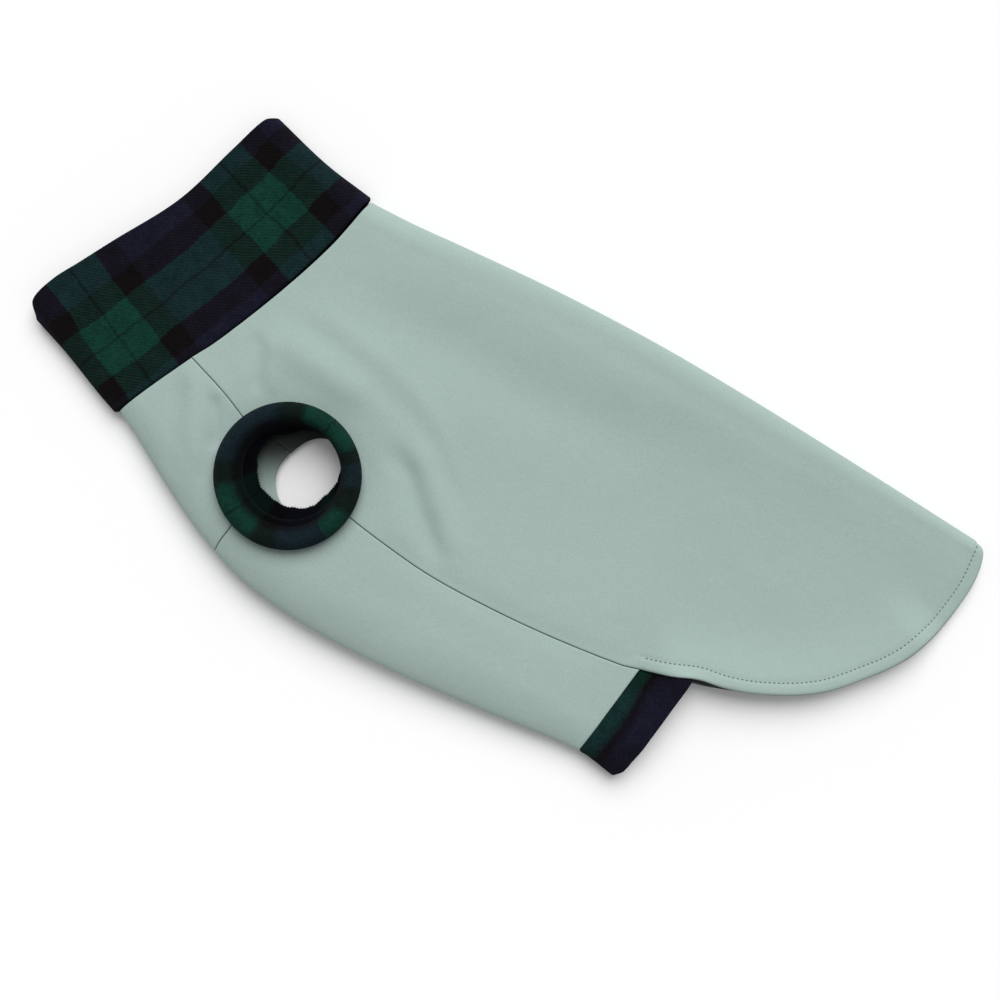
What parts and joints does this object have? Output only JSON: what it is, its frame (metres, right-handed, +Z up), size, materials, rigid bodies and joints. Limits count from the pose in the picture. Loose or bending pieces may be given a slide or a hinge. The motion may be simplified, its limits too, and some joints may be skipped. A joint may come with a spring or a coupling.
{
  "type": "waterproof dog coat",
  "caption": "Pull-on waterproof dog coat in sage softshell with a high tartan collar, tartan leg cuffs and a tartan belly band, laid flat on its side.",
  "frame": {"origin": "middle of the laid coat's footprint, on the surface it lies on", "axes": "+X from the neck towards the tail, +Y towards the folded centre back, +Z up from the surface"},
  "size_m": [0.5414, 0.2423, 0.0283],
  "materials": {
    "softshell": "matte",
    "tartan_trim": "matte"
  },
  "bodies": {
    "root": {"back_panel": "softshell", "chest_panel": "softshell", "belly_panel": "softshell", "belly_band": "tartan_trim", "collar": "tartan_trim", "near_cuff": "tartan_trim", "far_cuff": "tartan_trim"}
  },
  "joints": []
}
